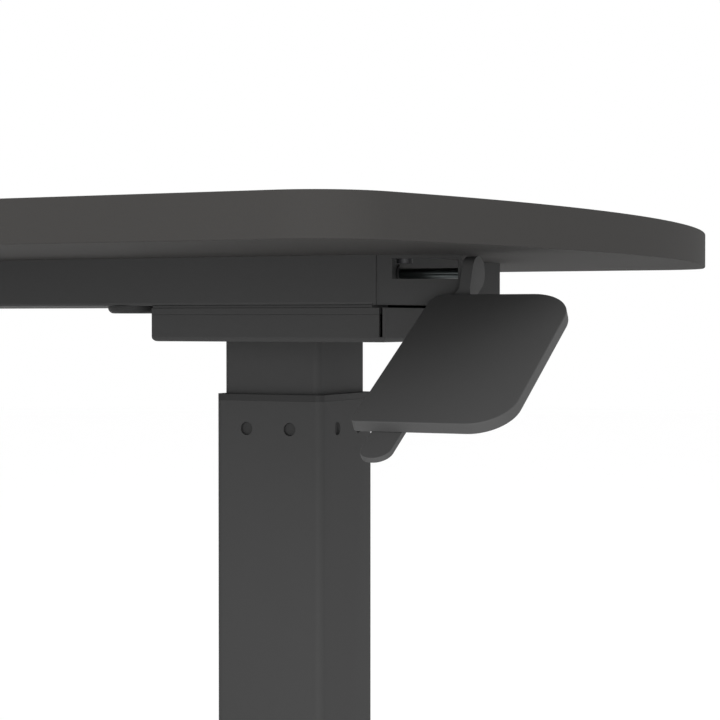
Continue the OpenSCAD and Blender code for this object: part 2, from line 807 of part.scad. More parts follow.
// Blind eye on the hub, a neck that slopes down from it and widens, and a flat strip under the paddle
module lever_arm() {
    color([0.16, 0.16, 0.16]) lever_frame() union() {
        difference() {
            union() {
                hull() {
                    translate([arm_x, 0, 0]) rotate([0, 90, 0]) cylinder(r = eye_r, h = arm_w);
                    neck_section(neck_run[0], 0, neck_rise);
                }
                hull() {
                    neck_section(neck_run[0], 0, neck_rise);
                    neck_section(neck_run[1], 1, arm_t);
                }
            }
            translate([arm_x - eps, 0, 0]) rotate([0, 90, 0]) cylinder(r = hub_r, h = arm_w - eye_cap + eps);
        }
        difference() {
            translate([0, 0, -eye_r]) linear_extrude(arm_t) {
                polygon([
                    [arm_x, 0], [arm_x, -neck_run[0]], [arm_x - neck_out[0], -neck_run[1]],
                    [arm_sides[0], -neck_run[2]], [arm_sides[0], -arm_len],
                    [arm_sides[1], -arm_len], [arm_sides[1], -neck_run[2]],
                    [arm_x + arm_w + neck_out[1], -neck_run[1]], [arm_x + arm_w, -neck_run[0]],
                    [arm_x + arm_w, 0]]);
            }
            for (x = arm_sides) arm_tip_corner(x);
            paddle_screw_places() translate([0, 0, -2 * arm_t]) cylinder(d = m5[0] + hole_gap, h = 3 * arm_t);
        }
    }
}

// Thin slice across the neck: distance from the shaft, share of the full widening, height over the lower face
module neck_section(run, share, height) {
    translate([arm_x - share * neck_out[0], -run, -eye_r]) {
        cube([arm_w + share * (neck_out[0] + neck_out[1]), 0.2, height]);
    }
}

// Waste outside the round corner of the arm's tip on the side at x
module arm_tip_corner(x) {
    inward = x == arm_sides[0] ? 1 : -1;
    translate([x + inward * arm_tip_r, arm_tip_r - arm_len, -eye_r - eps]) difference() {
        translate([min(-inward * 2 * arm_tip_r, 0), -2 * arm_tip_r, 0]) {
            cube([2 * arm_tip_r, 2 * arm_tip_r, arm_t + 2 * eps]);
        }
        cylinder(r = arm_tip_r, h = arm_t + 2 * eps);
    }
}

// Screw places on the underside of the arm, axes into the paddle
module paddle_screw_places() {
    for (run = paddle_screw_run) translate([paddle_screw_x, -run, -eye_r]) children();
}

module paddle() {
    color([0.2, 0.2, 0.2]) lever_frame() difference() {
        translate([0, 0, -paddle_t]) linear_extrude(paddle_t) {
            soft_polygon([
                [paddle_x, -paddle_start], [paddle_x, -paddle_start - paddle_len],
                [paddle_x + paddle_w, -paddle_start - paddle_len], [paddle_x + paddle_w, -paddle_start]],
                paddle_corner_r);
        }
        paddle_screw_places() cylinder(d = m5[0], h = arm_t + paddle_t - 1.5);
    }
}

module paddle_screws() {
    color([0.3, 0.3, 0.3]) lever_frame() paddle_screw_places() headed(m5, arm_t + paddle_t - 2);
}

// Spring clip on the shaft's left-hand end, outside the last support
module shaft_clip() {
    color([0.5, 0.5, 0.5]) on_shaft(clip_x) rotate([0, 90, 0]) difference() {
        cylinder(d = shaft_d + 5, h = clip_t);
        translate([0, 0, -eps]) cylinder(d = shaft_d, h = clip_t + 2 * eps);
        translate([-shaft_d / 2 + 0.8, 0, -eps]) cube([shaft_d - 1.6, shaft_d, clip_t + 2 * eps]);
    }
}

// Screw places on the bracket's tab, on the outer face of the tray's end wall
module bracket_tab_screws() {
    for (z = [8, tray_h - 8]) translate([tray_x, -pan_y + 14, tray_z + z]) children();
}

// Plate on the tray's end, with a return behind, a flange under the board and an angled wall beside the shaft
module lever_bracket() {
    color([0.19, 0.19, 0.19]) difference() {
        union() {
            bracket_wall_place() cube([bracket_len, tray_sheet, tray_h]);
            translate([tray_x, -pan_y, tray_z]) cube([tray_sheet, tray_w + tray_sheet, tray_h]);
            translate([tray_x - 18, pan_y, tray_z]) cube([18, tray_sheet, tray_h]);
            translate([tray_x, -pan_y, under_z - tray_sheet]) linear_extrude(tray_sheet) {
                polygon([[0, 0], bracket_len * [cos(bracket_angle), sin(bracket_angle)], [26, 26], [0, 24]]);
            }
        }
        bracket_wall_place() translate([window[0], -eps, tray_h - window[2]]) {
            cube([window[1] - window[0], tray_sheet + 2 * eps, window[2] - tray_sheet]);
        }
        translate([tray_x - tray_h, -pan_y - eps, tray_z - eps]) {
            cube([tray_h, tray_w + eps, tray_h + 2 * eps]);
        }
        translate([tray_x - eps, -shaft_y, shaft_z]) rotate([0, 90, 0]) {
            cylinder(d = bush_d, h = 2 * tray_sheet);
        }
        bracket_tab_screws() translate([-eps, 0, 0]) rotate([0, 90, 0]) {
            cylinder(d = m4[0] + hole_gap, h = tray_sheet + 2 * eps);
        }
        lever_screw_places() translate([0, 0, -2 * tray_sheet]) {
            cylinder(d = wood_screw[0] + hole_gap, h = 3 * tray_sheet);
        }
    }
}

// Frame of the bracket's wall: X along it from the tray's front corner, Z up from its lower edge
module bracket_wall_place() {
    translate([tray_x, -pan_y, tray_z]) rotate([0, 0, bracket_angle]) children();
}

// Screw places through the lever bracket's flange, at the underside of the board
module lever_screw_places() {
    translate([tray_x + 12, -pan_y + 17, under_z]) children();
}

module lever_bracket_screws() {
    color([0.3, 0.3, 0.3]) {
        lever_screw_places() translate([0, 0, -tray_sheet]) headed(wood_screw, tray_sheet + 11);
        bracket_tab_screws() translate([tray_sheet, 0, 0]) rotate([0, -90, 0]) headed(m4, 2 * tray_sheet + 3);
    }
}

// Coil round the shaft inside the tray's end, with a leg on the tray's floor
module return_spring() {
    coil_r = shaft_d / 2 + 1.5 + spring_wire / 2;
    color([0.7, 0.7, 0.7]) for (i = [0 : spring_turns - 1]) on_shaft(spring_x + i * (spring_wire + 0.05)) {
        rotate([0, 90, 0]) rotate_extrude() translate([coil_r, 0]) circle(d = spring_wire, $fn = 16);
    }
}

tabletop();
frame_tray();
tray_screws();
tray_plugs();
spacer_strips();
head_plate_left();
head_plate_right();
head_bracket_left();
head_bracket_right();
head_bolts();
head_nuts();
inner_tube_left();
inner_tube_right();
guide_shoe_left();
guide_shoe_right();
outer_tube_left();
outer_tube_right();
guide_bush_left();
guide_bush_right();
base_plate_left();
base_plate_right();
foot_beam_left();
foot_beam_right();
foot_end_caps();
foot_bolts();
foot_nuts();
foot_inserts();
levelling_foot_left_front();
levelling_foot_left_back();
levelling_foot_right_front();
levelling_foot_right_back();
gas_cylinder_left();
gas_cylinder_right();
gas_glands();
cylinder_nuts();
gas_rod_left();
gas_rod_right();
gas_pistons();
rod_nuts();
release_pin_left();
release_pin_right();
release_shaft();
release_cams();
shaft_bushes();
shaft_supports();
support_screws();
lever_hub();
lever_arm();
paddle();
paddle_screws();
shaft_clip();
lever_bracket();
lever_bracket_screws();
return_spring();
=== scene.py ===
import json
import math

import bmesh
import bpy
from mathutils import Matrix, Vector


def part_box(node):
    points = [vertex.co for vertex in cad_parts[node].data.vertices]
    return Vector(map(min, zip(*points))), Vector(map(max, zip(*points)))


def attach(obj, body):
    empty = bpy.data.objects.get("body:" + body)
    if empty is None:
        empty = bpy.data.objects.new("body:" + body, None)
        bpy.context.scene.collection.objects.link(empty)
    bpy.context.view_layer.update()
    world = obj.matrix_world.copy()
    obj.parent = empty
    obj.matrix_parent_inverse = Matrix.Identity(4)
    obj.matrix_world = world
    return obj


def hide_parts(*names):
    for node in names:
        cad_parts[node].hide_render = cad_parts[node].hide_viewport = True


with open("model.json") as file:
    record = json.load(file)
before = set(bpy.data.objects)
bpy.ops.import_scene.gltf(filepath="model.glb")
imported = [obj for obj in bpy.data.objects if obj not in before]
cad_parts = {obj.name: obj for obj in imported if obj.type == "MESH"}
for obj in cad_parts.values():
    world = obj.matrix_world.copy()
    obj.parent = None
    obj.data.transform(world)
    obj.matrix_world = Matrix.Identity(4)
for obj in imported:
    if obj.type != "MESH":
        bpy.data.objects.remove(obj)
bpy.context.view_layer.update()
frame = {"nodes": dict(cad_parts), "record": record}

# %% [markdown]
# # A gas-spring desk, piece by piece
#
# The imported desk is already in the file: every tube, plate and screw at its true size and place. This
# lesson gives it the finish of the real thing. It breaks the sharp edges of folded steel, models the pieces
# that are too fine for a plain solid, and builds a procedural material for each finish.
#
# The helpers come first.

MM = 0.001
record = frame["record"]
slot_of = {part["node"]: part["material_slot"] for part in record["subparts"]}
body_of = {node: body for body, nodes in record["behaviour"]["bodies"].items() for node in nodes}
board_lo, board_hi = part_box("tabletop")
print("board from", tuple(board_lo), "to", tuple(board_hi))

# %% [markdown]
# ## The camera
#
# The desk is seen from the right and from just under the top, through a long lens. A long lens keeps the
# column's sides nearly parallel. The place is given from the board's corner, so it would follow a longer
# desk.

# %% Camera
CAMERA_FROM_CORNER = Vector((333, -787.5, -37.3)) * MM
CAMERA_TILT = math.radians(90 - 1.125)
CAMERA_TURN = math.radians(25.4)
camera_data = bpy.data.cameras.new("camera")
camera_data.lens = 98.1
camera_data.sensor_width = 36.0
camera = bpy.data.objects.new("camera", camera_data)
bpy.context.scene.collection.objects.link(camera)
bpy.context.scene.camera = camera
camera.location = Vector((board_hi.x, board_lo.y, board_lo.z)) + CAMERA_FROM_CORNER
camera.rotation_euler = (CAMERA_TILT, 0, CAMERA_TURN)
print("camera at", tuple(camera.location))

# %% [markdown]
# ## Light and floor
#
# Dark powder coat shows its shape by soft reflections. A pale room lights it from every side, and one broad
# panel in front and to the right gives more to the rounded corners that face it, so the edges of the tubes
# stand out.

# %% Light and floor
def soft_panel(name, place, target, size, power):
    """A square light panel that faces a point."""
    data = bpy.data.lights.new(name, "AREA")
    data.shape = "SQUARE"
    data.size = size
    data.energy = power
    panel = bpy.data.objects.new(name, data)
    panel.location = place
    panel.rotation_euler = (Vector(target) - Vector(place)).to_track_quat("-Z", "Y").to_euler()
    bpy.context.scene.collection.objects.link(panel)


FLOOR_RADIUS = 14
room = bpy.data.worlds.new("room")
room.use_nodes = True
room.node_tree.nodes["Background"].inputs["Color"].default_value = (1, 1, 1, 1)
room.node_tree.nodes["Background"].inputs["Strength"].default_value = 1.0
bpy.context.scene.world = room
bpy.context.scene.view_settings.view_transform = "Standard"
middle_of_desk = (0, 0, 0.5)
soft_panel("front_panel", (1.6, -2.95, 1.2), middle_of_desk, size=2.6, power=84)

floor_shape = bmesh.new()
bmesh.ops.create_circle(floor_shape, cap_ends=True, segments=96, radius=FLOOR_RADIUS)
floor_mesh = bpy.data.meshes.new("floor")
floor_shape.to_mesh(floor_mesh)
floor_shape.free()
floor = bpy.data.objects.new("floor", floor_mesh)
bpy.context.scene.collection.objects.link(floor)
print("one panel, a white room and a floor", 2 * FLOOR_RADIUS, "m across")

# %% [markdown]
# ## A grain that every finish shares
#
# Powder coat, laminate and moulded plastic all have a fine skin texture, and all of them vary a little from
# place to place. One node group makes both: a fine noise for the skin and a slow one for the variation.
# Each material sets its own scale, so a grain is a real size: the pattern reads Object coordinates, which
# are metres here.

# %% Node group: grain
def node_in(tree, kind, **values):
    """A node in a tree, with some of its inputs set by name."""
    node = tree.nodes.new(kind)
    for name, value in values.items():
        node.inputs[name.replace("_", " ")].default_value = value
    return node


def make_grain_group():
    group = bpy.data.node_groups.new("grain", "ShaderNodeTree")
    for name, value in (("Grains per metre", 1200.0), ("Patches per metre", 6.0), ("Roundness", 0.5)):
        socket = group.interface.new_socket(name, in_out="INPUT", socket_type="NodeSocketFloat")
        socket.default_value = value
    group.interface.new_socket("Vector", in_out="INPUT", socket_type="NodeSocketVector")
    group.interface.new_socket("Height", in_out="OUTPUT", socket_type="NodeSocketFloat")
    group.interface.new_socket("Patch", in_out="OUTPUT", socket_type="NodeSocketFloat")
    source = group.nodes.new("NodeGroupInput")
    result = group.nodes.new("NodeGroupOutput")
    fine = node_in(group, "ShaderNodeTexNoise", Detail=3.0)
    slow = node_in(group, "ShaderNodeTexNoise", Detail=4.0, Roughness=0.6)
    link = group.links.new
    link(source.outputs["Vector"], fine.inputs["Vector"])
    link(source.outputs["Vector"], slow.inputs["Vector"])
    link(source.outputs["Grains per metre"], fine.inputs["Scale"])
    link(source.outputs["Roundness"], fine.inputs["Roughness"])
    link(source.outputs["Patches per metre"], slow.inputs["Scale"])
    link(fine.outputs["Fac"], result.inputs["Height"])
    link(slow.outputs["Fac"], result.inputs["Patch"])
    return group


grain_group = make_grain_group()
print("grain group with", len(grain_group.nodes), "nodes")

# %% [markdown]
# ## One function for every opaque finish
#
# A finish is a colour that drifts slightly between two values, a roughness that drifts the same way, and a
# bump from the fine grain. Metals add a Metallic value, and fixed numbers go straight on the shader's own
# sockets.

# %% Finish maker
def linear(value):
    """A screen grey, 0 to 255, as linear light."""
    share = value / 255
    return share / 12.92 if share <= 0.04045 else ((share + 0.055) / 1.055) ** 2.4


def screen_colour(red, green, blue):
    return (linear(red), linear(green), linear(blue), 1)


def finish(name, dark, light, rough, grains, depth,
           patches=6.0, metallic=0.0, specular=0.5, coat=0.0, stretch=(1, 1, 1)):
    """A material: two close colours, (low, high) roughness, grains per metre and their depth in metres."""
    material = bpy.data.materials.new(name)
    material.use_nodes = True
    tree = material.node_tree
    shader = tree.nodes["Principled BSDF"]
    shader.inputs["Metallic"].default_value = metallic
    shader.inputs["Specular IOR Level"].default_value = specular
    shader.inputs["Coat Weight"].default_value = coat
    place = tree.nodes.new("ShaderNodeTexCoord")
    scale = tree.nodes.new("ShaderNodeMapping")
    scale.inputs["Scale"].default_value = stretch
    grain = tree.nodes.new("ShaderNodeGroup")
    grain.node_tree = grain_group
    grain.inputs["Grains per metre"].default_value = grains
    grain.inputs["Patches per metre"].default_value = patches
    colour = tree.nodes.new("ShaderNodeMix")
    colour.data_type = "RGBA"
    colour.inputs["A"].default_value = dark
    colour.inputs["B"].default_value = light
    spread = node_in(tree, "ShaderNodeMapRange")
    spread.inputs["To Min"].default_value, spread.inputs["To Max"].default_value = rough
    bump = node_in(tree, "ShaderNodeBump", Strength=1.0)
    bump.inputs["Distance"].default_value = depth
    link = tree.links.new
    link(place.outputs["Object"], scale.inputs["Vector"])
    link(scale.outputs["Vector"], grain.inputs["Vector"])
    link(grain.outputs["Patch"], colour.inputs["Factor"])
    link(grain.outputs["Patch"], spread.inputs["Value"])
    link(grain.outputs["Height"], bump.inputs["Height"])
    link(colour.outputs["Result"], shader.inputs["Base Color"])
    link(spread.outputs["Result"], shader.inputs["Roughness"])
    link(bump.outputs["Normal"], shader.inputs["Normal"])
    return material


# %% [markdown]
# ## The desk's finishes
#
# The steel is charcoal powder coat: matt, with a skin about half a millimetre from crest to crest. The
# board's laminate is as dark and a little warmer, with a pebbled skin. Fasteners are black oxide or zinc,
# the shaft is ground and oiled steel, and the guides that slide are plain nylon.

# %% Finishes
finishes = {
    "charcoal_powder_coat": finish(
        "charcoal_powder_coat", screen_colour(51, 51, 51), screen_colour(56, 56, 56), (0.62, 0.72),
        1900, 0.00003, specular=0.12),
    "charcoal_laminate": finish(
        "charcoal_laminate", screen_colour(49, 48, 47), screen_colour(54, 53, 52), (0.75, 0.85), 1400, 0.00004,
        patches=3.0, specular=0.1),
    "black_plastic": finish(
        "black_plastic", screen_colour(38, 38, 38), screen_colour(43, 43, 43), (0.55, 0.65), 2600, 0.00002,
        specular=0.15),
    # The paddle is moulded plastic, but its grey is set lighter than the charcoal steel as painted light: it
    # stands for the light that falls on its sloping top.
    "paddle_plastic": finish(
        "paddle_plastic", screen_colour(62, 62, 62), screen_colour(67, 67, 67), (0.6, 0.7), 2400, 0.00002,
        specular=0.2),
    # lever_coat is the same charcoal powder coat as the frame, made lighter as painted light: it stands for the
    # light that falls on the lever arm under the paddle.
    "lever_coat": finish(
        "lever_coat", screen_colour(60, 60, 60), screen_colour(66, 66, 66), (0.6, 0.7), 1900, 0.00002,
        specular=0.25),
    "natural_nylon": finish(
        "natural_nylon", screen_colour(214, 210, 198), screen_colour(224, 221, 210), (0.4, 0.5), 1500, 0.00001),
    "black_rubber": finish(
        "black_rubber", screen_colour(32, 32, 32), screen_colour(42, 42, 42), (0.7, 0.85), 1200, 0.00004),
    "zinc_plate": finish(
        "zinc_plate", screen_colour(176, 181, 186), screen_colour(206, 208, 206), (0.25, 0.4), 900, 0.00001,
        patches=60.0, metallic=1.0),
    "bright_rod": finish(
        "bright_rod", screen_colour(196, 202, 206), screen_colour(216, 220, 222), (0.1, 0.18), 4000, 0.000004,
        patches=40.0, metallic=1.0, stretch=(0.05, 1, 1)),
    "black_oxide": finish(
        "black_oxide", screen_colour(40, 40, 42), screen_colour(50, 50, 52), (0.4, 0.55), 1500, 0.00001,
        patches=80.0, metallic=0.4),
    "ground_steel": finish(
        "ground_steel", screen_colour(78, 84, 84), screen_colour(90, 94, 94), (0.24, 0.32), 4000, 0.000004,
        patches=40.0, metallic=1.0, stretch=(0.05, 1, 1)),
    "cylinder_enamel": finish(
        "cylinder_enamel", screen_colour(26, 26, 27), screen_colour(32, 32, 33), (0.2, 0.28),
        500, 0.00001, coat=0.3),
}
pale_floor = finish(
    "pale_floor", screen_colour(254, 254, 254), screen_colour(255, 255, 255), (0.8, 0.9), 300, 0.00005)
floor.data.materials.append(pale_floor)
for node, piece in frame["nodes"].items():
    piece.data.materials.clear()
    piece.data.materials.append(finishes[slot_of[node]])
print(len(finishes), "finishes on", len(frame["nodes"]), "nodes")

# %% [markdown]
# ## From mesh to piece
#
# Every new piece ends the same way: its mesh becomes an object at the origin, its smooth faces are shaded
# smooth, it rides on a body, it takes the finish of the plain solid it stands for, and that solid is hidden.

# %% Placing a piece
SHARP = math.radians(35)
NEAR = 0.01 * MM
WELD = 0.001 * MM


def make_piece(name, shape, node, soften=0.0, segments=2):
    """Turns a bmesh into a piece that stands for a CAD node, with its edges rounded if soften isn't 0."""
    mesh = bpy.data.meshes.new(name)
    shape.to_mesh(mesh)
    shape.free()
    mesh.shade_smooth()
    mesh.set_sharp_from_angle(angle=SHARP)
    mesh.materials.append(finishes[slot_of[node]])
    piece = bpy.data.objects.new(name, mesh)
    bpy.context.scene.collection.objects.link(piece)
    if soften:
        rounding = piece.modifiers.new("rounding", "BEVEL")
        rounding.width = soften
        rounding.segments = segments
        rounding.limit_method = "ANGLE"
        rounding.angle_limit = SHARP
        rounding.harden_normals = True
        rounding.use_clamp_overlap = True
    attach(piece, body_of[node])
    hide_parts(node)
    return piece


# %% [markdown]
# ## Folded and cut steel: breaking the edges
#
# No real sheet has a knife edge. A fold has an outside radius of about its own thickness, and a cut edge is
# rounded by its coat of powder. A copy of the plain solid already has every hole in the right place, so it
# is merged into one skin, its flat faces are cleaned, the folds are bevelled with a large radius, and the
# rest gets a fine one. The lever bracket keeps its plain mesh, because a bevel on it shades badly.

# %% Softening a copy of a solid
def skin_of(node):
    """A merged copy of a CAD node's mesh, with its flat faces cleaned of triangle edges."""
    shape = bmesh.new()
    shape.from_mesh(frame["nodes"][node].data)
    bmesh.ops.remove_doubles(shape, verts=shape.verts, dist=0.002 * MM)
    bmesh.ops.dissolve_limit(shape, angle_limit=math.radians(0.4), verts=shape.verts, edges=shape.edges)
    return shape


def folds(shape, lo, hi):
    """Level edges on the outside corners of a box, apart from those at its top."""
    found = []
    for edge in shape.edges:
        a, b = (v.co for v in edge.verts)
        along = max(range(3), key=lambda i: abs(a[i] - b[i]))
        across = [i for i in range(3) if i != along]
        on_box = all(min(abs(p[i] - lo[i]), abs(p[i] - hi[i])) < NEAR for p in (a, b) for i in across)
        at_top = min(a.z, b.z) > hi.z - NEAR
        if along != 2 and on_box and not at_top:
            found.append(edge)
    return found


def soften_node(node, width, fold=0.0):
    """Replaces a CAD node by a copy with rounded folds and broken edges."""
    shape = skin_of(node)
    if fold:
        bmesh.ops.bevel(shape, geom=folds(shape, *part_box(node)), offset=fold, offset_type="OFFSET",
                        affect="EDGES", segments=5, profile=0.5, material=-1, clamp_overlap=True)
    make_piece(node + "_finished", shape, node, soften=width)


soften_node("frame_tray", 0.25 * MM, fold=1.6 * MM)
for side in ("left", "right"):
    soften_node("head_bracket_" + side, 0.25 * MM, fold=2.7 * MM)
    soften_node("head_plate_" + side, 0.3 * MM)
    soften_node("inner_tube_" + side, 0.3 * MM)
    soften_node("outer_tube_" + side, 0.3 * MM)
    soften_node("guide_bush_" + side, 0.35 * MM)
    soften_node("guide_shoe_" + side, 0.15 * MM)
    soften_node("base_plate_" + side, 0.5 * MM)
    soften_node("foot_beam_" + side, 0.3 * MM)
for node in ("lever_arm", "release_cams", "shaft_supports", "rod_nuts", "spacer_strips",
             "head_nuts", "foot_nuts", "cylinder_nuts", "shaft_clip", "gas_glands"):
    soften_node(node, 0.25 * MM)
soften_node("foot_end_caps", 0.9 * MM)
print("softened pieces made")

# %% [markdown]
# ## A lathe
#
# Feet and plugs are round, so one helper turns them both: a short profile of radius and height is
# spun once round an upright axis. A second helper finds where the separate lumps of a plain solid stand, so
# that a turned piece goes exactly where each of them was.

# %% Lathe
def turn(shape, profile, centre, steps=48):
    """Spins a profile of (radius, height) pairs round an upright axis, inside a bmesh that may hold others."""
    points = [shape.verts.new((centre[0] + radius, centre[1], height)) for radius, height in profile]
    lines = [shape.edges.new(pair) for pair in zip(points, points[1:])]
    bmesh.ops.spin(shape, geom=points + lines, cent=(centre[0], centre[1], 0), axis=(0, 0, 1),
                   angle=2 * math.pi, steps=steps, use_merge=True)


def close_up(shape):
    """Merges the poles of turned shapes and points every face outwards."""
    bmesh.ops.remove_doubles(shape, verts=shape.verts, dist=WELD)
    bmesh.ops.recalc_face_normals(shape, faces=shape.faces)


def round_corner(centre, radius, start, end, steps=6):
    """Profile points on an arc, angles in degrees."""
    angles = [math.radians(start + (end - start) * i / steps) for i in range(steps + 1)]
    return [(centre[0] + radius * math.cos(a), centre[1] + radius * math.sin(a)) for a in angles]


def lumps(node):
    """Lowest and highest corners of each separate solid in a CAD node."""
    shape = skin_of(node)
    left = set(shape.verts)
    found = []
    while left:
        lump, edge_of_it = set(), [left.pop()]
        while edge_of_it:
            vert = edge_of_it.pop()
            lump.add(vert)
            near = {edge.other_vert(vert) for edge in vert.link_edges} - lump
            left -= near
            edge_of_it.extend(near)
        corners = list(zip(*(vert.co for vert in lump)))
        found.append((Vector(map(min, corners)), Vector(map(max, corners))))
    shape.free()
    return found


# %% [markdown]
# ## Plugs under the tray
#
# A plug is a low dome with a soft rim that snaps into an access hole. Its profile runs from the middle of
# the dome, round the rim and up the neck.

# %% Tray plugs
PLUG_FLANGE = 1 * MM
PLUG_STEP = 4.5 * MM
plug_shape = bmesh.new()
tray_lo, tray_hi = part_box("frame_tray")
for lo, hi in lumps("tray_plugs"):
    radius = (hi.x - lo.x) / 2
    rim = tray_lo.z - lo.z - PLUG_FLANGE
    dome = round_corner((radius - rim, lo.z + rim), rim, -90, 0)
    neck = radius - PLUG_STEP
    profile = [(0, lo.z)] + dome + [(radius, tray_lo.z), (neck, tray_lo.z), (neck, hi.z), (0, hi.z)]
    turn(plug_shape, profile, (lo + hi) / 2, steps=64)
close_up(plug_shape)
plugs = make_piece("domed_plugs", plug_shape, "tray_plugs")
print("plug faces", len(plugs.data.polygons))

# %% [markdown]
# ## Levelling feet
#
# A levelling foot is a wide moulded pad with a round shoulder, on a stud. The pad's edge is rounded where it
# meets the floor, so it slides without catching a carpet. Separate grooves up the stud stand for its thread.

# %% Levelling feet
SOLE_EDGE = 1.5 * MM
PAD_EDGE = 2 * MM
STUD_RADIUS = 4 * MM
THREAD_PITCH = 1.25 * MM
THREAD_DEPTH = 0.5 * MM


def foot_profile(radius, low, high):
    """Half the outline of a levelling foot: pad, shoulder, grooves and the stud's end."""
    pad = [(0, low)] + round_corner((radius - SOLE_EDGE, low + SOLE_EDGE), SOLE_EDGE, -90, 0)
    pad += round_corner((radius - PAD_EDGE, low + 3.5 * MM), PAD_EDGE, 0, 80)
    pad += [(9 * MM, low + 7 * MM), (8 * MM, low + 8 * MM), (STUD_RADIUS, low + 8 * MM)]
    for i in range(int((high - low - 12 * MM) / THREAD_PITCH)):
        crest = low + 9 * MM + i * THREAD_PITCH
        pad += [(STUD_RADIUS, crest), (STUD_RADIUS - THREAD_DEPTH, crest + 0.6 * MM)]
    return pad + [(STUD_RADIUS, high - 1.5 * MM), (STUD_RADIUS - 1 * MM, high), (0, high)]


for foot in ("left_front", "left_back", "right_front", "right_back"):
    lo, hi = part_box("levelling_foot_" + foot)
    foot_shape = bmesh.new()
    turn(foot_shape, foot_profile((hi.x - lo.x) / 2, lo.z, hi.z), (lo + hi) / 2)
    close_up(foot_shape)
    pad_piece = make_piece("foot_pad_" + foot, foot_shape, "levelling_foot_" + foot)
print("four levelling feet,", len(pad_piece.data.polygons), "faces each")

# %% [markdown]
# ## Bolts with a hexagon socket
#
# The bolts on the base plates are seen from above. A round rim and a hexagon with the same number of points
# are bridged to make the top of the head, then the rim is drawn down to make its side and the hexagon to
# make the socket.

# %% Socket bolts
KEY = 5 * MM
SHANK_RADIUS = 4 * MM
SOCKET_DEPTH = 2.4 * MM
HEAD_HEIGHT = 4 * MM


def draw_down(shape, edges, depth, scale=1.0, about=(0, 0, 0)):
    """Extrudes a loop of edges straight down, and widens or narrows it about an upright axis."""
    made = bmesh.ops.extrude_edge_only(shape, edges=edges)["geom"]
    verts = [v for v in made if isinstance(v, bmesh.types.BMVert)]
    bmesh.ops.translate(shape, verts=verts, vec=(0, 0, -depth))
    bmesh.ops.scale(shape, verts=verts, vec=(scale, scale, 1), space=Matrix.Translation(-Vector(about)))
    return [e for e in made if isinstance(e, bmesh.types.BMEdge) and all(v in verts for v in e.verts)]


def socket_bolt(shape, lo, hi):
    """A bolt with its round head up, filling the box of a plain one."""
    middle_of_bolt = Vector(((lo.x + hi.x) / 2, (lo.y + hi.y) / 2, hi.z))
    place = Matrix.Translation(middle_of_bolt)
    radius = (hi.x - lo.x) / 2
    key = bmesh.ops.create_circle(shape, segments=6, radius=KEY / math.sqrt(3), matrix=place)["verts"]
    bmesh.ops.subdivide_edges(shape, edges=list({e for v in key for e in v.link_edges}), cuts=5)
    key_edges = [e for e in shape.edges if e.is_wire]
    rim = bmesh.ops.create_circle(shape, segments=36, radius=radius, matrix=place)["verts"]
    rim_edges = list({e for v in rim for e in v.link_edges})
    bmesh.ops.bridge_loops(shape, edges=rim_edges + key_edges)
    socket = draw_down(shape, key_edges, SOCKET_DEPTH)
    bmesh.ops.contextual_create(shape, geom=socket)
    side = draw_down(shape, rim_edges, HEAD_HEIGHT)
    seat = draw_down(shape, side, 0, SHANK_RADIUS / radius, middle_of_bolt)
    end = draw_down(shape, seat, hi.z - HEAD_HEIGHT - lo.z)
    bmesh.ops.contextual_create(shape, geom=end)


bolt_shape = bmesh.new()
for lo, hi in lumps("foot_bolts"):
    socket_bolt(bolt_shape, lo, hi)
bmesh.ops.recalc_face_normals(bolt_shape, faces=bolt_shape.faces)
bolts = make_piece("socket_bolts", bolt_shape, "foot_bolts", soften=0.4 * MM)
print("socket bolt faces", len(bolts.data.polygons))

# %% [markdown]
# ## The board
#
# The board's outline is straight at the front and back and bowed at each end. One vertex is spun round
# three centres to draw the right-hand end: a corner, the bow and the other corner. A half-turned copy draws
# the left-hand end. Filling the outline and extruding it gives the board, and a fine bevel gives its crisp,
# just-broken edge.

# %% Board
BOW_RADIUS = 880 * MM
CORNER_RADIUS = 45 * MM


def board_piece():
    shape = bmesh.new()
    half_depth = board_hi.y
    corner_y = half_depth - CORNER_RADIUS
    bow_x = board_hi.x - BOW_RADIUS
    corner_x = bow_x + math.sqrt((BOW_RADIUS - CORNER_RADIUS) ** 2 - corner_y ** 2)
    bow_half = math.atan2(corner_y, corner_x - bow_x)
    up = (0, 0, 1)
    end = [shape.verts.new((corner_x, -half_depth, board_lo.z))]
    for centre, angle, steps in (
        ((corner_x, -corner_y, 0), math.pi / 2 - bow_half, 20),
        ((bow_x, 0, 0), 2 * bow_half, 90),
        ((corner_x, corner_y, 0), math.pi / 2 - bow_half, 20),
    ):
        last = bmesh.ops.spin(shape, geom=end, cent=centre, axis=up, angle=angle, steps=steps)["geom_last"]
        end = [v for v in last if isinstance(v, bmesh.types.BMVert)]
    half = bmesh.ops.duplicate(shape, geom=shape.verts[:] + shape.edges[:])["geom"]
    half = [v for v in half if isinstance(v, bmesh.types.BMVert)]
    bmesh.ops.rotate(shape, verts=half, cent=(0, 0, 0), matrix=Matrix.Rotation(math.pi, 3, "Z"))
    loose = [v for v in shape.verts if len(v.link_edges) == 1]
    for y in (-half_depth, half_depth):
        pair = [v for v in loose if abs(v.co.y - y) < NEAR]
        bmesh.ops.contextual_create(shape, geom=pair)
    lower = bmesh.ops.contextual_create(shape, geom=shape.edges[:])["faces"]
    upper = bmesh.ops.extrude_face_region(shape, geom=lower)["geom"]
    upper = [v for v in upper if isinstance(v, bmesh.types.BMVert)]
    bmesh.ops.translate(shape, verts=upper, vec=(0, 0, board_hi.z - board_lo.z))
    bmesh.ops.recalc_face_normals(shape, faces=shape.faces)
    return make_piece("board", shape, "tabletop", soften=0.6 * MM, segments=3)


board = board_piece()
print("board faces", len(board.data.polygons))

# %% [markdown]
# ## The paddle
#
# The paddle is a flat moulded plate that slopes down towards the user. It starts as four vertices in the
# plane of its upper face. Each corner is rounded by a vertex bevel of its own radius, then the face is
# extruded down and its rim rounded. It is built flat, in the lever's own frame, and then turned about the
# shaft.

